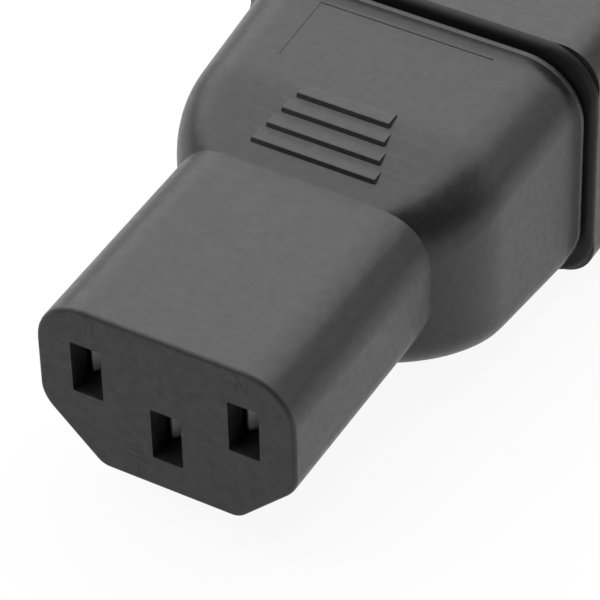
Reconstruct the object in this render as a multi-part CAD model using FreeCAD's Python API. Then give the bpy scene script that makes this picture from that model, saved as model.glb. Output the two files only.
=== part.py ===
"""Straight moulded power plug adapter: a socket nose with three slots at one end,
a shrouded plug with three flat blades at the other, and three short wires between them.

The working frame has its origin on the body axis in the plane of the socket face,
X to the right, Y along the axis towards the blades and Z up. On export the whole
assembly moves so that its origin is at the middle of its base.
"""

import FreeCAD, Part
import math
import os

V = FreeCAD.Vector

# Socket nose
nose_side = 4.5
nose_height = 15.7
nose_length = 21.1
nose_drop = 0.45
nose_chamfer = 5.3
nose_top_radius = 3.6
nose_chamfer_radius = 1.5
nose_edge_radius = 0.4
nose_wall = 1.6
face_wall = 1.2
nose_overlap = 4.5

# Contact slots in the nose face
contact_pitch = 14.0
contact_row_rise = 1.75
earth_offset = 4.0
slot_width = 2.75
slot_height = 5.05

# Moulded block behind the nose
block_length = 19.0
shoulder_length = 7.3
shoulder_radius = 11.2
shoulder_blend = 1.4
shoulder_reach = 1.2
block_width_middle = 28.7
block_height_middle = 19.5
block_width_rear = 29.3
block_height_rear = 21.2
block_corner_radius = 5.0
block_stations = 12

# Rim round the rear end of the block
rim_flare = 0.9
rim_thickness = 0.7
rim_stations = 6

# Raised grip bars on both sloping faces of the shoulder
bar_count = 4
bar_pitch = 1.72
bar_setback = 2.0
bar_longest = 11.2
bar_step = 0.95
bar_width = 0.8
bar_height = 0.5
bar_root = 0.6
bar_end_radius = 0.35

# Shallow bare panel in the flat top
panel_width = 15.9
panel_length = 6.9
panel_setback = 1.55
panel_depth = 0.25

# Flange, pin carrier and shroud
flange_gap = 0.5
flange_width = 32.2
flange_height = 23.7
flange_thickness = 0.7
flange_corner_radius = 4.4
flange_edge_radius = 0.5
neck_width = 25.0
neck_height = 16.6
neck_length = 5.0
neck_corner_radius = 3.0
plug_depth = 5.0
plug_clearance = 0.1
shroud_length = 25.0
shroud_wall = 1.6
shroud_corner_radius = 3.4
shroud_mouth_radius = 0.5

# Plug blades
blade_width = 8.0
blade_thickness = 2.0
blade_length = 17.0
blade_pitch = 13.0
blade_row_rise = 4.0
blade_earth_drop = 4.0
blade_tip_bevel = 0.6
blade_tip_setback = 1.5
blade_corner_radius = 1.0

# Folded spring contacts
contact_setback = 2.4
contact_length = 10.4
contact_thickness = 0.5
contact_height = 4.7
contact_width = 3.3
contact_lip_spread = 1.0
contact_slit = 0.5
contact_lip_depth = 0.9
contact_throat_depth = 2.2
contact_spring_depth = 5.5
contact_clearance = 0.25
tail_length = 1.2
tail_width = 2.4

# Crimps, wires and the lid behind the contacts
conductor_diameter = 1.9
insulation_diameter = 3.4
crimp_diameter = 3.0
crimp_length = 4.2
crimp_clearance = 0.05
lid_thickness = 1.4
wire_straight = 2.0
wire_bend_radius = 8.0

# The nose reaches the same distance past the outer slots on both sides
nose_width = contact_pitch + 2 * nose_side

# The shoulder starts level with the top of the nose
block_height_front = nose_height - 2 * nose_drop

# Stations along the axis, from the socket face
y_shoulder_end = nose_length + shoulder_length
y_block_end = nose_length + block_length
y_flange = y_block_end + flange_gap
y_shroud = y_flange + flange_thickness
y_plug_end = y_shroud + plug_depth
y_end = y_shroud + shroud_length
y_neck = y_flange - neck_length
y_contact_end = contact_setback + contact_length
y_crimp = y_contact_end + tail_length
y_lid = y_crimp + crimp_length + crimp_clearance
y_lid_end = y_lid + lid_thickness
y_blade_crimp = y_flange - crimp_length

# Places of the three poles across the axis, at the socket and at the plug
poles = ("line", "neutral", "earth")
z_socket_row = contact_row_rise - nose_drop
socket_place = {
    "line": (-contact_pitch / 2, z_socket_row),
    "neutral": (contact_pitch / 2, z_socket_row),
    "earth": (0, z_socket_row - earth_offset),
}
plug_place = {
    "line": (-blade_pitch / 2, blade_row_rise),
    "neutral": (blade_pitch / 2, blade_row_rise),
    "earth": (0, -blade_earth_drop),
}


def rounded_edges(points, radii, closed):
    """Straight runs through the points, joined by tangent arcs of the given radii."""
    count = len(points)
    spans = []
    for index, here in enumerate(points):
        is_end = not closed and index in (0, count - 1)
        if is_end or radii[index] == 0:
            spans.append((here, None, here))
            continue
        back = (points[index - 1] - here).normalize()
        ahead = (points[(index + 1) % count] - here).normalize()
        half = back.getAngle(ahead) / 2
        reach = radii[index] / math.tan(half)
        bulge = radii[index] / math.sin(half) - radii[index]
        middle = here + (back + ahead).normalize() * bulge
        spans.append((here + back * reach, middle, here + ahead * reach))
    edges = []
    for index, (start, middle, finish) in enumerate(spans):
        if middle is not None:
            edges.append(Part.Arc(start, middle, finish).toShape())
        if closed or index < count - 1:
            edges.append(Part.makeLine(finish, spans[(index + 1) % count][0]))
    return edges


def section(corners, y):
    """A closed outline across the axis in the plane y, from corners (x, z, radius)."""
    points = [V(x, y, z) for x, z, radius in corners]
    radii = [radius for x, z, radius in corners]
    return Part.Wire(rounded_edges(points, radii, True))


def bar_along(outline, length):
    """A solid drawn from a flat outline along the axis."""
    return Part.Face(outline).extrude(V(0, length, 0))


def rounded_rectangle(width, height, radius, y):
    """A rounded rectangular outline in the plane y, centred on the axis."""
    x = width / 2
    z = height / 2
    return section([(-x, -z, radius), (x, -z, radius), (x, z, radius), (-x, z, radius)], y)


def rounded_block(width, height, radius, y, length):
    """A bar of rounded rectangular section, centred on the axis, from y onwards."""
    return bar_along(rounded_rectangle(width, height, radius, y), length)


def rod(place, diameter, y, length):
    """A round bar along the axis through a pole's place."""
    x, z = place
    return Part.makeCylinder(diameter / 2, length, V(x, y, z), V(0, 1, 0))


def brick(place, width, height, y, length):
    """A rectangular bar along the axis, centred on a pole's place."""
    x, z = place
    return Part.makeBox(width, length, height, V(x - width / 2, y, z - height / 2))


def edges_at(shape, y):
    """The edges of a shape that lie in the plane y."""
    return [e for e in shape.Edges if all(abs(v.Point.y - y) < 1e-6 for v in e.Vertexes)]


def nose_outline(y, inset):
    """The socket outline with its two lower corners cut off, moved inwards by inset."""
    x = nose_width / 2 - inset
    top = nose_height / 2 - nose_drop - inset
    low = -nose_height / 2 - nose_drop + inset
    cut = nose_chamfer - inset * (2 - math.sqrt(2))
    top_radius = nose_top_radius - inset
    corners = [
        (x, top, top_radius),
        (-x, top, top_radius),
        (-x, low + cut, nose_chamfer_radius),
        (-x + cut, low, nose_chamfer_radius),
        (x - cut, low, nose_chamfer_radius),
        (x, low + cut, nose_chamfer_radius),
    ]
    return section(corners, y)


def shoulder_slope():
    """Rise of the sloping shoulder faces for each millimetre along the axis."""
    return (block_height_middle - block_height_front) / 2 / shoulder_length


def top_slope():
    """Rise of the flat top for each millimetre along the axis."""
    return (block_height_rear - block_height_middle) / 2 / (block_length - shoulder_length)


def block_half_width(y):
    """Half the block's width at y: a round shoulder that runs into a slight taper."""
    widening = (block_width_rear - block_width_middle) / 2
    past = y - y_shoulder_end
    if past >= 0:
        return block_width_middle / 2 + widening * past / (y_block_end - y_shoulder_end)
    taper = math.atan2(widening, y_block_end - y_shoulder_end)
    centre_x = block_width_middle / 2 - shoulder_radius * math.cos(taper)
    behind = shoulder_radius * math.sin(taper) - past
    return centre_x + math.sqrt(shoulder_radius**2 - behind**2)


def block_half_height(y):
    """Half the block's height at y: two slopes with a soft break between them."""
    past = y - y_shoulder_end
    if past <= -shoulder_blend:
        return block_height_middle / 2 + shoulder_slope() * past
    if past >= shoulder_blend:
        return block_height_middle / 2 + top_slope() * past
    mean = (shoulder_slope() + top_slope()) / 2
    bend = (shoulder_slope() - top_slope()) / (4 * shoulder_blend)
    return block_height_middle / 2 + mean * past - bend * (past**2 + shoulder_blend**2)


def block_section(y, grow):
    """The rounded outline of the block at y, grown outwards by the given amount."""
    width = 2 * (block_half_width(y) + grow)
    height = 2 * (block_half_height(y) + grow)
    return rounded_rectangle(width, height, block_corner_radius + grow, y)


def block():
    """The block: a loft through its shoulder and sides, then a rim that flares out."""
    y_start = nose_length - shoulder_reach
    y_rim = y_block_end - rim_thickness
    y_flare = y_rim - rim_flare
    spacing = (y_flare - y_start) / block_stations
    stations = [y_start + spacing * index for index in range(block_stations + 1)]
    body = Part.makeLoft([block_section(y, 0) for y in stations], True)
    turns = [math.pi / 2 * index / rim_stations for index in range(rim_stations + 1)]
    flares = [
        block_section(y_flare + rim_flare * math.sin(turn), rim_flare * (1 - math.cos(turn)))
        for turn in turns
    ]
    flare = Part.makeLoft(flares, True)
    rim = bar_along(block_section(y_rim, rim_flare), rim_thickness)
    return body.multiFuse([flare, rim]).removeSplitter()


def grip_bars():
    """Raised bars across the shoulder, shorter towards the rear, above and below.

    The nose sits low and covers the front of the lower slope, so bars there start behind it.
    """
    angle = math.atan(shoulder_slope())
    covered = 2 * nose_drop / math.sin(angle)
    bars = []
    for index in range(bar_count):
        length = bar_longest - index * bar_step
        along = bar_setback + index * bar_pitch
        box = Part.makeBox(length, bar_width, bar_root + bar_height, V(-length / 2, along, -bar_root))
        uprights = [e for e in box.Edges if e.BoundBox.ZLength > bar_root]
        bar = box.makeFillet(bar_end_radius, uprights)
        bar.rotate(V(0, 0, 0), V(1, 0, 0), math.degrees(angle))
        bar.translate(V(0, nose_length, block_height_front / 2))
        bars.append(bar)
        if along > covered:
            bars.append(bar.mirror(V(0, 0, 0), V(0, 0, 1)))
    return bars


def panel():
    """The cutter for the shallow rectangular panel in the flat top."""
    angle = math.degrees(math.atan(top_slope()))
    cutter = Part.makeBox(panel_width, panel_length, flange_height, V(-panel_width / 2, -panel_length, 0))
    cutter.translate(V(0, -panel_setback, -panel_depth))
    cutter.rotate(V(0, 0, 0), V(1, 0, 0), angle)
    cutter.translate(V(0, y_block_end, block_height_rear / 2))
    return cutter


def slots(y, length):
    """The three rectangular blade openings, from y onwards."""
    return [brick(socket_place[pole], slot_width, slot_height, y, length) for pole in poles]


def jacket():
    """The outer moulding, shaped round the pieces that it encloses."""
    nose = bar_along(nose_outline(0, 0), nose_length + nose_overlap)
    nose = nose.makeFillet(nose_edge_radius, edges_at(nose, 0))
    outside = nose.multiFuse([block()] + grip_bars()).removeSplitter()
    pocket = bar_along(nose_outline(face_wall, nose_wall), y_lid_end - face_wall)
    hidden = [pocket, carrier_neck(), panel()]
    hidden += slots(0, face_wall)
    hidden += [insulation_body(pole) for pole in poles]
    return outside.cut(hidden)


def contact_holder():
    """The inner body with a mouth and a chamber for each spring contact."""
    body = bar_along(nose_outline(face_wall, nose_wall), y_lid - face_wall)
    y_chamber = contact_setback - contact_clearance
    width = contact_width + 2 * contact_clearance
    height = contact_height + 2 * contact_clearance
    hollows = slots(face_wall, y_chamber - face_wall)
    for pole in poles:
        hollows.append(brick(socket_place[pole], width, height, y_chamber, y_lid - y_chamber))
    return body.cut(hollows)


def holder_lid():
    """The plate that closes the chambers and lets the three wires out."""
    body = bar_along(nose_outline(y_lid, nose_wall), lid_thickness)
    return body.cut([rod(socket_place[pole], insulation_diameter, y_lid, lid_thickness) for pole in poles])


def contact(pole):
    """A clip folded from strip, with rolled lips in front and a crimp barrel behind."""
    x, z = socket_place[pole]
    low = z - contact_height / 2
    inner = contact_width / 2 - contact_thickness
    leaf = [
        (contact_lip_spread, contact_setback),
        (contact_slit / 2, contact_setback + contact_lip_depth),
        (contact_slit / 2, contact_setback + contact_throat_depth),
        (inner, contact_setback + contact_spring_depth),
        (inner, y_contact_end - contact_thickness),
    ]
    path = leaf + [(-side, y) for side, y in reversed(leaf)]
    points = [V(x + side, y, low) for side, y in path]
    bends = [contact_thickness] * len(points)
    fold = Part.Wire(rounded_edges(points, bends, False))
    strip = fold.makeOffset2D(contact_thickness, fill=True, openResult=True)
    clip = strip.extrude(V(0, 0, contact_height))
    z_tail = z - crimp_diameter / 2
    corner = V(x - tail_width / 2, y_contact_end - contact_thickness, z_tail)
    tail = Part.makeBox(tail_width, tail_length + 2 * contact_thickness, contact_thickness, corner)
    bore = rod((x, z), conductor_diameter + 2 * crimp_clearance, y_crimp, crimp_length)
    barrel = rod((x, z), crimp_diameter, y_crimp, crimp_length)
    return clip.multiFuse([tail, barrel]).cut(bore).removeSplitter()


def wire_path(pole, y_start, y_finish):
    """The route of a wire: straight out of the socket, across, and straight into the plug."""
    x, z = socket_place[pole]
    far_x, far_z = plug_place[pole]
    points = [
        V(x, y_start, z),
        V(x, y_lid_end + wire_straight, z),
        V(far_x, y_neck - wire_straight, far_z),
        V(far_x, y_finish, far_z),
    ]
    radii = [wire_bend_radius] * len(points)
    return Part.Wire(rounded_edges(points, radii, False))


def wire_body(pole, diameter, y_start, y_finish):
    """A round bar along a wire's route."""
    x, z = socket_place[pole]
    circle = Part.makeCircle(diameter / 2, V(x, y_start, z), V(0, 1, 0))
    return wire_path(pole, y_start, y_finish).makePipe(Part.Face(Part.Wire(circle)))


def conductor(pole):
    """The copper strands, from the contact's crimp to the blade's crimp."""
    return wire_body(pole, conductor_diameter, y_crimp, y_flange)


def insulation_body(pole):
    """The outside of a wire's insulation, from the lid to the pin carrier."""
    return wire_body(pole, insulation_diameter, y_lid, y_neck)


def insulation(pole):
    """The sleeve round a wire's strands."""
    return insulation_body(pole).cut(conductor(pole))


def carrier_neck():
    """The part of the pin carrier that the outer moulding grips."""
    return rounded_block(neck_width, neck_height, neck_corner_radius, y_neck, neck_length)


def pin_carrier():
    """The plate and plug that hold the blades, with a bored neck for their crimps."""
    plate = rounded_block(flange_width, flange_height, flange_corner_radius, y_flange, flange_thickness)
    plate = plate.makeFillet(flange_edge_radius, edges_at(plate, y_flange))
    inset = 2 * (shroud_wall + plug_clearance)
    radius = shroud_corner_radius - shroud_wall
    plug = rounded_block(flange_width - inset, flange_height - inset, radius, y_shroud, plug_depth)
    body = plate.multiFuse([carrier_neck(), plug]).removeSplitter()
    hollows = []
    for pole in poles:
        place = plug_place[pole]
        hollows.append(brick(place, blade_width, blade_thickness, y_flange, y_plug_end - y_flange))
        hollows.append(rod(place, crimp_diameter + 2 * crimp_clearance, y_neck, neck_length))
    return body.cut(hollows)


def shroud():
    """The open-ended hood round the blades."""
    outside = rounded_block(flange_width, flange_height, shroud_corner_radius, y_shroud, shroud_length)
    width = flange_width - 2 * shroud_wall
    height = flange_height - 2 * shroud_wall
    radius = shroud_corner_radius - shroud_wall
    hood = outside.cut(rounded_block(width, height, radius, y_shroud, shroud_length))
    return hood.makeFillet(shroud_mouth_radius, edges_at(hood, y_end))


def blade(pole):
    """A flat blade with a bevelled, rounded tip and a crimp barrel at its root."""
    x, z = plug_place[pole]
    y_tip = y_plug_end + blade_length
    left = x - blade_width / 2
    right = x + blade_width / 2
    low = z - blade_thickness / 2
    high = z + blade_thickness / 2
    plan = [V(left, y_flange, low), V(right, y_flange, low), V(right, y_tip, low), V(left, y_tip, low)]
    radii = [0, 0, blade_corner_radius, blade_corner_radius]
    flat = Part.Face(Part.Wire(rounded_edges(plan, radii, True))).extrude(V(0, 0, blade_thickness))
    y_bevel = y_tip - blade_tip_setback
    side = [
        V(left, y_flange, low),
        V(left, y_bevel, low),
        V(left, y_tip, low + blade_tip_bevel),
        V(left, y_tip, high - blade_tip_bevel),
        V(left, y_bevel, high),
        V(left, y_flange, high),
    ]
    wedge = Part.Face(Part.makePolygon(side + side[:1])).extrude(V(blade_width, 0, 0))
    barrel = rod((x, z), crimp_diameter, y_blade_crimp, crimp_length)
    bore = rod((x, z), conductor_diameter + 2 * crimp_clearance, y_blade_crimp, crimp_length)
    return flat.common(wedge).fuse(barrel).cut(bore).removeSplitter()


def save(name, shape):
    """Writes one piece, moved so that the origin is at the middle of the base."""
    placed = shape.copy()
    placed.translate(V(0, -y_end / 2, flange_height / 2))
    print(name, placed.isValid(), len(placed.Solids), round(placed.Volume, 1))
    placed.exportStep("parts/" + name + ".step")


os.makedirs("parts", exist_ok=True)
save("jacket", jacket())
save("contact_holder", contact_holder())
save("holder_lid", holder_lid())
save("pin_carrier", pin_carrier())
save("shroud", shroud())
for pole in poles:
    save("contact_" + pole, contact(pole))
    save("conductor_" + pole, conductor(pole))
    save("insulation_" + pole, insulation(pole))
    save("blade_" + pole, blade(pole))
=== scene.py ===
import math

import bmesh
import bpy
from mathutils import Matrix, Vector


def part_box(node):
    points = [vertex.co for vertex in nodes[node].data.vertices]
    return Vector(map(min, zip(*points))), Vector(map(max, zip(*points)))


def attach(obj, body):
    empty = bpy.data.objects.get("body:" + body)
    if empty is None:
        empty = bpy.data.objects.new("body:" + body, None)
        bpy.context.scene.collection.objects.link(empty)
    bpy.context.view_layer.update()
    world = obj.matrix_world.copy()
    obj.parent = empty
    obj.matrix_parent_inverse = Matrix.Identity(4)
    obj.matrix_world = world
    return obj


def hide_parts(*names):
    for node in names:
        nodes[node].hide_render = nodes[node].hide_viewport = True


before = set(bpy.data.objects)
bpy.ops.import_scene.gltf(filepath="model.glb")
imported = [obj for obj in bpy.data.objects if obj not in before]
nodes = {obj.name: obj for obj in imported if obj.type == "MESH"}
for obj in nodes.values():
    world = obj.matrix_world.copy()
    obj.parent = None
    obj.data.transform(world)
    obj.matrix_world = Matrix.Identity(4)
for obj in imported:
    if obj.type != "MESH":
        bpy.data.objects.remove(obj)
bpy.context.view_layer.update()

mm = 0.001

# Places taken from the frame, in metres

socket_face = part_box("jacket")[0][1]
axis_height = (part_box("shroud")[0][2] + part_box("shroud")[1][2]) / 2


# Helpers for objects and corners

def add_object(name, data):
    """Adds an object with the given data to the scene."""
    thing = bpy.data.objects.new(name, data)
    bpy.context.scene.collection.objects.link(thing)
    return thing


def rectangle(low_x, low_y, high_x, high_y):
    """Returns the four corners of a rectangle in a plane."""
    return [(low_x, low_y), (high_x, low_y), (high_x, high_y), (low_x, high_y)]


# Camera

camera_place = Vector((124.6, -221.35, 226.05)) * mm
camera_right = Vector((0.868, 0.4961, -0.0209))
camera_up = Vector((-0.3185, 0.5886, 0.7431))
camera_lens = 244.0
camera_sensor = 36.0
camera_nearest = 0.01


def add_camera():
    """Puts the camera at the photograph's viewing angle."""
    data = bpy.data.cameras.new("camera")
    data.lens = camera_lens
    data.sensor_width = camera_sensor
    data.clip_start = camera_nearest
    camera = add_object("camera", data)
    right = camera_right.normalized()
    back = right.cross(camera_up).normalized()
    up = back.cross(right)
    turn = Matrix((right, up, back)).transposed().to_4x4()
    camera.matrix_world = Matrix.Translation(camera_place) @ turn
    bpy.context.scene.camera = camera


# Light and floor, in metres

softboxes = {
    "top_softbox": {"place": (-0.40, 0.36, 0.82), "size": (2.4, 2.0), "radiance": 2.3},
    "front_softbox": {"place": (-0.60, -0.80, 0.75), "size": (0.8, 0.8), "radiance": 1.2},
    "right_softbox": {"place": (1.00, 0.55, 0.60), "size": (1.0, 1.0), "radiance": 1.1},
}
lamp_aim = Vector((0.0, 0.0, 0.0))
world_colour = (0.02, 0.02, 0.02, 1.0)

floor_half = 6.0
floor_colour = (0.85, 0.85, 0.85, 1.0)
floor_rough = 0.9
floor_gloss = 0.1
floor_white_share = 0.92
mirrored_white_share = 0.75


def add_softbox(name, place, size, radiance):
    """Adds a rectangular lamp of the given brightness that faces the object."""
    width, height = size
    data = bpy.data.lights.new(name, "AREA")
    data.shape = "RECTANGLE"
    data.size = width
    data.size_y = height
    data.energy = radiance * math.pi * width * height
    lamp = add_object(name, data)
    lamp.location = place
    direction = lamp_aim - Vector(place)
    lamp.rotation_euler = direction.to_track_quat("-Z", "Y").to_euler()


def add_lights():
    """Adds soft studio light from above, and weaker fill from the front left and the back right."""
    for name, softbox in softboxes.items():
        add_softbox(name, **softbox)
    world = bpy.data.worlds.new("room")
    world.use_nodes = True
    background = world.node_tree.nodes["Background"]
    background.inputs["Color"].default_value = world_colour
    bpy.context.scene.world = world


def add_floor():
    """Adds a white floor, which keeps a soft shadow and shows white in reflections."""
    mesh = bpy.data.meshes.new("floor")
    corners = rectangle(-floor_half, -floor_half, floor_half, floor_half)
    mesh.from_pydata([(x, y, 0.0) for x, y in corners], [], [(0, 1, 2, 3)])
    floor = add_object("floor", mesh)
    material, tree, shader = new_material("floor_paper")
    shader.inputs["Base Color"].default_value = floor_colour
    shader.inputs["Roughness"].default_value = floor_rough
    shader.inputs["Specular IOR Level"].default_value = floor_gloss
    rays = tree.nodes.new("ShaderNodeLightPath")
    seen = combine(tree, "MULTIPLY", rays.outputs["Is Camera Ray"], floor_white_share)
    glossy = combine(tree, "MAXIMUM", rays.outputs["Is Glossy Ray"], rays.outputs["Is Transmission Ray"])
    mirrored = combine(tree, "MULTIPLY", glossy, mirrored_white_share)
    share = combine(tree, "MAXIMUM", seen, mirrored)
    white = tree.nodes.new("ShaderNodeEmission")
    mix = tree.nodes.new("ShaderNodeMixShader")
    tree.links.new(share, mix.inputs[0])
    tree.links.new(shader.outputs[0], mix.inputs[1])
    tree.links.new(white.outputs[0], mix.inputs[2])
    tree.links.new(mix.outputs[0], tree.nodes["output"].inputs["Surface"])
    mesh.materials.append(material)


# Material helpers

# Length of one band of the wave pattern at scale 1
wave_period = 0.31


def new_material(name):
    """Returns a new material, its node tree and its main shader."""
    material = bpy.data.materials.new(name)
    material.use_nodes = True
    tree = material.node_tree
    tree.nodes.clear()
    output = tree.nodes.new("ShaderNodeOutputMaterial")
    output.name = "output"
    shader = tree.nodes.new("ShaderNodeBsdfPrincipled")
    tree.links.new(shader.outputs[0], output.inputs["Surface"])
    return material, tree, shader


def combine(tree, operation, value, other):
    """Returns a value combined with another value or with a plain number."""
    node = tree.nodes.new("ShaderNodeMath")
    node.operation = operation
    tree.links.new(value, node.inputs[0])
    if isinstance(other, float):
        node.inputs[1].default_value = other
    else:
        tree.links.new(other, node.inputs[1])
    return node.outputs[0]


def object_point(tree, stretch=(1.0, 1.0, 1.0)):
    """Returns the place on the object in metres, scaled along each axis."""
    coordinates = tree.nodes.new("ShaderNodeTexCoord")
    mapping = tree.nodes.new("ShaderNodeMapping")
    mapping.inputs["Scale"].default_value = stretch
    tree.links.new(coordinates.outputs["Object"], mapping.inputs["Vector"])
    return mapping.outputs[0]


def noise(tree, point, size, detail=2.0, rough=0.5):
    """Returns a cloudy pattern whose patches are about the given size in metres."""
    node = tree.nodes.new("ShaderNodeTexNoise")
    node.inputs["Scale"].default_value = 1.0 / size
    node.inputs["Detail"].default_value = detail
    node.inputs["Roughness"].default_value = rough
    tree.links.new(point, node.inputs["Vector"])
    return node.outputs[0]


def wave(tree, point, direction, width, distortion):
    """Returns a banded pattern whose bands are about the given width in metres."""
    node = tree.nodes.new("ShaderNodeTexWave")
    node.bands_direction = direction
    node.inputs["Scale"].default_value = wave_period / width
    node.inputs["Distortion"].default_value = distortion
    tree.links.new(point, node.inputs["Vector"])
    return node.outputs[1]


def spread(tree, value, low, high, start=0.3, end=0.7):
    """Returns a value moved from the range start to end into the range low to high."""
    node = tree.nodes.new("ShaderNodeMapRange")
    node.inputs["From Min"].default_value = start
    node.inputs["From Max"].default_value = end
    node.inputs["To Min"].default_value = low
    node.inputs["To Max"].default_value = high
    tree.links.new(value, node.inputs["Value"])
    return node.outputs[0]


def shades(tree, value, stops):
    """Returns a colour from a value, through stops that each have a place and a colour."""
    ramp = tree.nodes.new("ShaderNodeValToRGB")
    elements = ramp.color_ramp.elements
    while len(elements) < len(stops):
        elements.new(0.5)
    for element, (place, colour) in zip(elements, stops):
        element.position = place
        element.color = (*colour, 1.0)
    tree.links.new(value, ramp.inputs[0])
    return ramp.outputs[0]


def bump(tree, height, depth, below=None):
    """Returns a normal raised by a pattern, depth in metres."""
    node = tree.nodes.new("ShaderNodeBump")
    node.inputs["Strength"].default_value = 1.0
    node.inputs["Distance"].default_value = depth
    tree.links.new(height, node.inputs["Height"])
    if below is not None:
        tree.links.new(below, node.inputs["Normal"])
    return node.outputs[0]


def tint(colour, factor):
    """Returns a colour made lighter or darker."""
    return tuple(part * factor for part in colour)


# Materials

plastic_cloud_size = 0.9 * mm
plastic_sheen_size = 0.7 * mm
plastic_sheen_range = 0.05
plastic_grain_size = 0.11 * mm
plastic_coarse_size = 0.5 * mm
face_finish_start = 0.05 * mm
face_finish_end = 0.35 * mm

plating_cloud_size = 1.2 * mm
plating_smoother = 0.1
plating_rougher = 0.12
rolled_line_size = 0.08 * mm
rolled_line_depth = 0.0015 * mm

tarnish_size = 0.9 * mm
strand_width = 0.4 * mm
strand_depth = 0.05 * mm

sleeve_cloud_size = 0.8 * mm
sleeve_stripe_width = 2.4 * mm
sleeve_grain_size = 0.15 * mm
sleeve_grain_depth = 0.004 * mm


def plastic(name, colour, rough, grain_depth, mottle, face_rough=0.0, gloss=0.5):
    """Moulded plastic: spark-eroded grain, clouding and uneven sheen.

    The socket face may be given a rougher finish than the rest.
    """
    material, tree, shader = new_material(name)
    shader.inputs["Specular IOR Level"].default_value = gloss
    point = object_point(tree)
    cloud = noise(tree, point, plastic_cloud_size, detail=4.0, rough=0.6)
    stops = [(0.3, tint(colour, 1 - mottle)), (0.5, colour), (0.7, tint(colour, 1 + mottle))]
    tree.links.new(shades(tree, cloud, stops), shader.inputs["Base Color"])
    sheen = noise(tree, point, plastic_sheen_size, detail=3.0)
    roughness = spread(tree, sheen, rough - plastic_sheen_range, rough + plastic_sheen_range)
    if face_rough:
        split = tree.nodes.new("ShaderNodeSeparateXYZ")
        tree.links.new(point, split.inputs[0])
        start = socket_face + face_finish_start
        end = socket_face + face_finish_end
        extra = spread(tree, split.outputs["Y"], face_rough, 0.0, start, end)
        roughness = combine(tree, "ADD", roughness, extra)
    tree.links.new(roughness, shader.inputs["Roughness"])
    coarse = bump(tree, noise(tree, point, plastic_coarse_size), grain_depth)
    grain = bump(tree, noise(tree, point, plastic_grain_size), grain_depth, coarse)
    tree.links.new(grain, shader.inputs["Normal"])
    return material


def plated(name, colour, rough, stretch):
    """Plated sheet metal: fine rolling lines and faint clouding."""
    material, tree, shader = new_material(name)
    shader.inputs["Metallic"].default_value = 1.0
    cloud = noise(tree, object_point(tree), plating_cloud_size, detail=4.0)
    stops = [(0.3, tint(colour, 0.86)), (0.55, colour), (0.75, tint(colour, 1.08))]
    tree.links.new(shades(tree, cloud, stops), shader.inputs["Base Color"])
    lines = noise(tree, object_point(tree, stretch), rolled_line_size, detail=3.0)
    roughness = spread(tree, lines, rough - plating_smoother, rough + plating_rougher)
    tree.links.new(roughness, shader.inputs["Roughness"])
    tree.links.new(bump(tree, lines, rolled_line_depth), shader.inputs["Normal"])
    return material


def strands(name, colour):
    """Twisted bare copper: slanting strand lines and a warm tarnish."""
    material, tree, shader = new_material(name)
    shader.inputs["Metallic"].default_value = 1.0
    point = object_point(tree)
    tarnish = noise(tree, point, tarnish_size, detail=3.0)
    stops = [(0.3, tint(colour, 0.6)), (0.6, colour)]
    tree.links.new(shades(tree, tarnish, stops), shader.inputs["Base Color"])
    lines = wave(tree, point, "DIAGONAL", strand_width, distortion=1.5)
    roughness = spread(tree, lines, low=0.28, high=0.45, start=0.0, end=1.0)
    tree.links.new(roughness, shader.inputs["Roughness"])
    tree.links.new(bump(tree, lines, strand_depth), shader.inputs["Normal"])
    return material


def sleeve(name, colour, second=None):
    """Soft insulation: fine grain, and clouding or stripes of a second colour."""
    material, tree, shader = new_material(name)
    point = object_point(tree)
    cloud = noise(tree, point, sleeve_cloud_size, detail=3.0)
    if second is None:
        pattern = cloud
        stops = [(0.3, tint(colour, 0.85)), (0.7, tint(colour, 1.1))]
    else:
        pattern = wave(tree, point, "Z", sleeve_stripe_width, distortion=0.4)
        stops = [(0.46, colour), (0.54, second)]
    tree.links.new(shades(tree, pattern, stops), shader.inputs["Base Color"])
    tree.links.new(spread(tree, cloud, low=0.38, high=0.52), shader.inputs["Roughness"])
    grain = noise(tree, point, sleeve_grain_size)
    tree.links.new(bump(tree, grain, sleeve_grain_depth), shader.inputs["Normal"])
    return material


jacket_colour = (0.018, 0.018, 0.0184)
hood_colour = (0.019, 0.019, 0.0194)
# Painted shade: the pin carrier's colour is darker than the hood's, standing in for the shadow in the gap
# in front of its flange
carrier_shade_darkened_colour = (0.013, 0.013, 0.0133)
inner_colour = (0.012, 0.012, 0.012)
nickel_colour = (0.62, 0.60, 0.56)
tin_colour = (0.82, 0.82, 0.82)
copper_colour = (0.80, 0.42, 0.26)
brown_colour = (0.13, 0.05, 0.025)
blue_colour = (0.03, 0.12, 0.42)
green_colour = (0.03, 0.25, 0.06)
yellow_colour = (0.75, 0.55, 0.04)

jacket_plastic = plastic(
    "jacket_plastic_finish", jacket_colour, rough=0.36, grain_depth=0.011 * mm, mottle=0.30, face_rough=0.24
)
hood_plastic = plastic(
    "hood_plastic_finish", hood_colour, rough=0.38, grain_depth=0.009 * mm, mottle=0.30
)
# Painted shade: the pin carrier is darker and less glossy than the hood so that its flange front looks
# shaded in the gap behind the jacket
carrier_shade_darkened_plastic = plastic(
    "carrier_shade_darkened_finish", carrier_shade_darkened_colour, rough=0.55, grain_depth=0.006 * mm, mottle=0.14, gloss=0.25
)
inner_plastic = plastic(
    "inner_plastic_finish", inner_colour, rough=0.5, grain_depth=0.002 * mm, mottle=0.12
)
contact_finish = plated("contact_finish", tin_colour, rough=0.6, stretch=(1.0, 0.08, 1.0))
blade_finish = plated("blade_finish", nickel_colour, rough=0.42, stretch=(1.0, 0.06, 1.0))
copper_finish = strands("copper_finish", copper_colour)
line_finish = sleeve("line_sleeve_finish", brown_colour)
neutral_finish = sleeve("neutral_sleeve_finish", blue_colour)
earth_finish = sleeve("earth_sleeve_finish", green_colour, yellow_colour)


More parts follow.
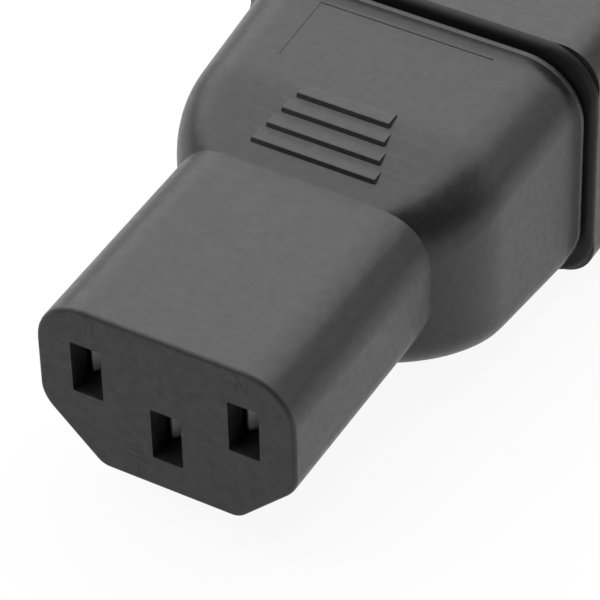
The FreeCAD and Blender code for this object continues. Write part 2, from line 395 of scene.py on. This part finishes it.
def dress():
    """Gives each construction node its finish."""
    finishes = {
        "jacket": jacket_plastic,
        "contact_holder": inner_plastic,
        "holder_lid": inner_plastic,
        "pin_carrier": carrier_shade_darkened_plastic,
        "shroud": hood_plastic,
        "insulation_line": line_finish,
        "insulation_neutral": neutral_finish,
        "insulation_earth": earth_finish,
    }
    for pole in ("line", "neutral", "earth"):
        finishes["contact_" + pole] = contact_finish
        finishes["conductor_" + pole] = copper_finish
        finishes["blade_" + pole] = blade_finish
    for name, finish in finishes.items():
        nodes[name].material_slots[0].material = finish


# Outer moulding, in millimetres from the middle axis at the socket face

nose_width = 23.0
nose_top = 7.4
nose_low = -8.4
nose_length = 21.1
nose_overlap = 4.5
nose_chamfer = 5.3
nose_top_radius = 4.5
nose_side_radius = 3.2
nose_chamfer_radius = 1.5
nose_edge_radius = 0.4
nose_wall = 1.6
pocket_radius = 1.5

slot_width = 2.75
slot_height = 5.05
slot_cutter_depth = 3.0
slot_corner_radius = 0.15
slot_places = ((-7.0, 1.3), (7.0, 1.3), (0.0, -2.7))

block_end = 40.1
shoulder_end = 28.4
shoulder_length = 7.3
shoulder_radius = 11.2
shoulder_blend = 1.4
shoulder_reach = 1.2
shoulder_top = 7.4
shoulder_low = 8.0
block_width_middle = 28.7
block_width_rear = 29.9
block_height_middle = 19.5
block_height_rear = 21.2
block_top_radius = 4.6
block_low_radius = 3.1

rim_rise = 0.5
rim_length = 0.9
rim_thickness = 0.55
rim_edge_radius = 0.15
rim_corner_radius = 5.4

grip_count = 4
grip_front = 0.2
grip_rise = 0.42
grip_edge = 0.05
grip_back = 1.4
grip_root = 0.4
grip_end = 0.18
grip_setback = 2.1
grip_pitch = 1.64
grip_longest = 11.5
grip_step = 0.95

panel_width = 15.9
panel_length = 6.9
panel_setback = 1.55
panel_depth = 0.05
panel_corner_radius = 0.1
panel_cutter_height = 3.0

neck_width = 25.0
neck_height = 16.6
neck_corner_radius = 3.0
neck_start = 35.6

cut_overlap = 1.0
block_steps = 48
rim_steps = 6
corner_steps = 10
edge_steps = 4
sharp_angle = math.radians(28)


def rounded_ring(corners, y):
    """Returns the points of an outline in the plane y, from corners (x, z, radius)."""
    ring = []
    for index, (x, z, radius) in enumerate(corners):
        here = Vector((x, z))
        back = (Vector(corners[index - 1][:2]) - here).normalized()
        ahead = (Vector(corners[(index + 1) % len(corners)][:2]) - here).normalized()
        half = back.angle(ahead) / 2
        centre = here + (back + ahead).normalized() * (radius / math.sin(half))
        start = here + back * (radius / math.tan(half)) - centre
        for step in range(corner_steps + 1):
            turn = (math.pi - 2 * half) * step / corner_steps
            spoke = Matrix.Rotation(turn, 2) @ start
            ring.append((centre.x + spoke.x, y, centre.y + spoke.y))
    return ring


def rectangle_ring(corners, radius, y):
    """Returns a rectangle in the plane y with all its corners rounded alike."""
    return rounded_ring([(x, z, radius) for x, z in corners], y)


def socket_ring(x, low, top, cut, radii, y):
    """Returns an outline whose lower corners are cut off, with radii (top, side, base)."""
    top_radius, side_radius, base_radius = radii
    corners = [
        (x, top, top_radius),
        (-x, top, top_radius),
        (-x, low + cut, side_radius),
        (-x + cut, low, base_radius),
        (x - cut, low, base_radius),
        (x, low + cut, side_radius),
    ]
    return rounded_ring(corners, y)


def chamfer_size(inset):
    """Returns the size of the cut-off corners of an outline that lies inside the nose's."""
    return nose_chamfer - inset * (2 - math.sqrt(2))


def quarter_turns():
    """Returns the angles of the steps round a rounded edge."""
    return [math.pi / 2 * step / edge_steps for step in range(edge_steps + 1)]


def nose_ring(y, inset):
    """Returns the outline of the nose at y, moved inwards."""
    x = nose_width / 2 - inset
    radii = (nose_top_radius - inset, nose_side_radius, nose_chamfer_radius)
    return socket_ring(x, nose_low + inset, nose_top - inset, chamfer_size(inset), radii, y)


def nose_rings():
    """Returns the outlines of the nose, with its front edge rounded off."""
    rings = []
    for turn in quarter_turns():
        along = nose_edge_radius * (1 - math.cos(turn))
        rings.append(nose_ring(along, nose_edge_radius * (1 - math.sin(turn))))
    rings.append(nose_ring(nose_length + nose_overlap, 0.0))
    return rings


def top_slope():
    """Returns the rise of the flat top for each millimetre along the axis."""
    return (block_height_rear - block_height_middle) / 2 / (block_end - shoulder_end)


def block_half_width(y):
    """Returns half the block's width at y: a round shoulder that runs into a slight taper."""
    widening = (block_width_rear - block_width_middle) / 2
    past = y - shoulder_end
    if past >= 0:
        return block_width_middle / 2 + widening * past / (block_end - shoulder_end)
    taper = math.atan2(widening, block_end - shoulder_end)
    centre_x = block_width_middle / 2 - shoulder_radius * math.cos(taper)
    behind = shoulder_radius * math.sin(taper) - past
    return centre_x + math.sqrt(shoulder_radius**2 - behind**2)


def block_height(y, front):
    """Returns the block's height above or below the axis at y: two slopes with a soft break."""
    past = y - shoulder_end
    slope = (block_height_middle / 2 - front) / shoulder_length
    if past <= -shoulder_blend:
        return block_height_middle / 2 + slope * past
    if past >= shoulder_blend:
        return block_height_middle / 2 + top_slope() * past
    mean = (slope + top_slope()) / 2
    bend = (slope - top_slope()) / (4 * shoulder_blend)
    return block_height_middle / 2 + mean * past - bend * (past**2 + shoulder_blend**2)


def block_ring(y, grow):
    """Returns the outline of the block at y, grown outwards on its way to the rim's outline."""
    x = block_half_width(y) + grow
    top = block_height(y, shoulder_top) + grow
    low = -block_height(y, shoulder_low) - grow
    share = grow / rim_rise
    top_radius = block_top_radius + (rim_corner_radius - block_top_radius) * share
    low_radius = block_low_radius + (rim_corner_radius - block_low_radius) * share
    corners = [(-x, low, low_radius), (x, low, low_radius), (x, top, top_radius), (-x, top, top_radius)]
    return rounded_ring(corners, y)


def block_rings():
    """Returns the outlines of the block: its shoulder, its sides and the rim that flares out."""
    y_start = nose_length - shoulder_reach
    y_flare = block_end - rim_thickness - rim_length
    spacing = (y_flare - y_start) / block_steps
    rings = [block_ring(y_start + spacing * step, 0.0) for step in range(block_steps)]
    radius = (rim_length**2 + rim_rise**2) / (2 * rim_rise)
    for step in range(rim_steps + 1):
        turn = math.asin(rim_length / radius) * step / rim_steps
        rings.append(block_ring(y_flare + radius * math.sin(turn), radius * (1 - math.cos(turn))))
    for turn in quarter_turns():
        y = block_end - rim_edge_radius * (1 - math.sin(turn))
        rings.append(block_ring(y, rim_rise - rim_edge_radius * (1 - math.cos(turn))))
    return rings


def grip_rings(index, side):
    """Returns the outlines of one low ledge across a slope, with slanted front and ends."""
    half = (grip_longest - index * grip_step) / 2
    y = nose_length + grip_setback - grip_front + index * grip_pitch
    z = block_height(y, shoulder_top if side > 0 else shoulder_low)
    profile = [
        (0.0, -grip_root),
        (0.0, 0.0),
        (grip_front - grip_edge, grip_rise - grip_edge),
        (grip_front + grip_edge, grip_rise),
        (grip_back, grip_rise),
        (grip_back, -grip_root),
    ]
    stations = [
        (-half, -grip_rise),
        (grip_end - half, 0.0),
        (half - grip_end, 0.0),
        (half, -grip_rise),
    ]
    rings = []
    for x, lift in stations:
        rings.append([(x, y + along, side * (z + lift + rise)) for along, rise in profile])
    return rings


def panel_rings():
    """Returns the outlines of the cutter for the shallow panel in the flat top."""
    x = panel_width / 2
    y_rear = block_end - panel_setback
    rings = []
    for y in (y_rear - panel_length, y_rear):
        floor = block_height(y, shoulder_top) - panel_depth
        corners = rectangle(-x, floor, x, floor + panel_cutter_height)
        rings.append(rectangle_ring(corners, panel_corner_radius, y))
    return rings


def slot_rings(place):
    """Returns the outlines of the cutter for one blade slot."""
    x, z = place
    half_w = slot_width / 2
    half_h = slot_height / 2
    corners = rectangle(x - half_w, z - half_h, x + half_w, z + half_h)
    return [rectangle_ring(corners, slot_corner_radius, y) for y in (-cut_overlap, slot_cutter_depth)]


def pocket_rings():
    """Returns the outlines of the space for the contact holder and the wires behind it."""
    holder_low, holder_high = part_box("contact_holder")
    x = holder_high[0] / mm
    low = (holder_low[2] - axis_height) / mm
    top = (holder_high[2] - axis_height) / mm
    front = (holder_low[1] - socket_face) / mm
    cut = chamfer_size(nose_wall)
    radii = (pocket_radius, pocket_radius, pocket_radius)
    return [socket_ring(x, low, top, cut, radii, y) for y in (front, neck_start + cut_overlap)]


def neck_rings():
    """Returns the outlines of the pocket that grips the pin carrier's neck."""
    half_w = neck_width / 2
    half_h = neck_height / 2
    corners = rectangle(-half_w, -half_h, half_w, half_h)
    return [rectangle_ring(corners, neck_corner_radius, y) for y in (neck_start, block_end + cut_overlap)]


def closed_shape(name, shells):
    """Adds an object with one closed shell for each row of outlines."""
    shape = bmesh.new()
    for rings in shells:
        loops = [[shape.verts.new(point) for point in ring] for ring in rings]
        for first, second in zip(loops, loops[1:]):
            for index in range(len(first)):
                after = (index + 1) % len(first)
                shape.faces.new((first[index], first[after], second[after], second[index]))
        shape.faces.new(loops[0])
        shape.faces.new(loops[-1])
    bmesh.ops.recalc_face_normals(shape, faces=shape.faces)
    mesh = bpy.data.meshes.new(name)
    shape.to_mesh(mesh)
    shape.free()
    return add_object(name, mesh)


def carve(piece, other, operation):
    """Joins another shape to a piece or cuts it out, and takes the other shape away."""
    step = piece.modifiers.new(other.name, "BOOLEAN")
    step.operation = operation
    step.solver = "EXACT"
    step.object = other
    graph = bpy.context.evaluated_depsgraph_get()
    mesh = bpy.data.meshes.new_from_object(piece.evaluated_get(graph))
    piece.modifiers.clear()
    piece.data = mesh
    bpy.data.objects.remove(other)


def add_moulding():
    """Adds the outer moulding, which stands for the construction's jacket."""
    piece = closed_shape("moulding", [nose_rings()])
    additions = {
        "block": [block_rings()],
        "grips": [grip_rings(index, side) for index in range(grip_count) for side in (1, -1)],
    }
    cutters = {
        "pocket": [pocket_rings()],
        "neck": [neck_rings()],
        "slots": [slot_rings(place) for place in slot_places],
        "panel": [panel_rings()],
    }
    for name, shells in additions.items():
        carve(piece, closed_shape(name, shells), "UNION")
    for name, shells in cutters.items():
        carve(piece, closed_shape(name, shells), "DIFFERENCE")
    piece.data.transform(Matrix.Translation((0.0, socket_face, axis_height)) @ Matrix.Scale(mm, 4))
    piece.data.shade_smooth()
    piece.data.set_sharp_from_angle(angle=sharp_angle)
    shading = piece.modifiers.new("shading", "WEIGHTED_NORMAL")
    shading.keep_sharp = True
    piece.data.materials.clear()
    piece.data.materials.append(jacket_plastic)
    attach(piece, "root")
    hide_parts("jacket")


# Pole marks on the socket face

mark_stroke = 0.34 * mm
mark_height = 1.8 * mm
mark_width = 1.2 * mm
mark_proud = 0.025 * mm
mark_sunk = 0.04 * mm
mark_rounding = 0.02 * mm
mark_rounding_steps = 2
mark_spread = 6.8 * mm
mark_rise = 17.9 * mm
slant_stroke = 1.6 * mark_stroke
earth_mark_side = -2.9 * mm
earth_mark_rise = 5.6 * mm
earth_bar_count = 3

# Half the longest earth bar, and what each next one loses, as shares of a mark's width
earth_bar_share = 0.62
earth_bar_loss = 0.2


def letter_l():
    """Returns the outline of an L about its middle."""
    half_w = mark_width / 2
    half_h = mark_height / 2
    inner_x = mark_stroke - half_w
    inner_z = mark_stroke - half_h
    return [[
        (-half_w, -half_h),
        (half_w, -half_h),
        (half_w, inner_z),
        (inner_x, inner_z),
        (inner_x, half_h),
        (-half_w, half_h),
    ]]


def letter_n():
    """Returns the outline of an N about its middle."""
    half_w = mark_width / 2
    half_h = mark_height / 2
    inner = half_w - mark_stroke
    return [[
        (-half_w, -half_h),
        (-inner, -half_h),
        (-inner, half_h - slant_stroke),
        (inner, -half_h),
        (half_w, -half_h),
        (half_w, half_h),
        (inner, half_h),
        (inner, slant_stroke - half_h),
        (-inner, half_h),
        (-half_w, half_h),
    ]]


def earth_sign():
    """Returns the outlines of the earth sign: an upright and bars that get shorter."""
    half_s = mark_stroke / 2
    half_h = mark_height / 2
    outlines = [rectangle(-half_s, 0.0, half_s, half_h)]
    for step in range(earth_bar_count):
        half_w = mark_width * (earth_bar_share - earth_bar_loss * step)
        top = -2 * step * mark_stroke
        outlines.append(rectangle(-half_w, top - mark_stroke, half_w, top))
    return outlines


def add_mark(name, outlines, middle_x, middle_z):
    """Adds a small raised mark on the socket face, turned to read with the earth slot above."""
    places = (socket_face - mark_proud, socket_face + mark_sunk)
    shells = []
    for outline in outlines:
        shells.append([[(middle_x - x, y, middle_z - z) for x, z in outline] for y in places])
    piece = closed_shape(name, shells)
    piece.data.materials.append(jacket_plastic)
    rounding = piece.modifiers.new("rounding", "BEVEL")
    rounding.width = mark_rounding
    rounding.segments = mark_rounding_steps
    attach(piece, "root")


bpy.context.scene.view_settings.view_transform = "Standard"
add_camera()
add_lights()
add_floor()
dress()
add_moulding()
add_mark("mark_line", letter_l(), -mark_spread, mark_rise)
add_mark("mark_neutral", letter_n(), mark_spread, mark_rise)
add_mark("mark_earth", earth_sign(), earth_mark_side, earth_mark_rise)
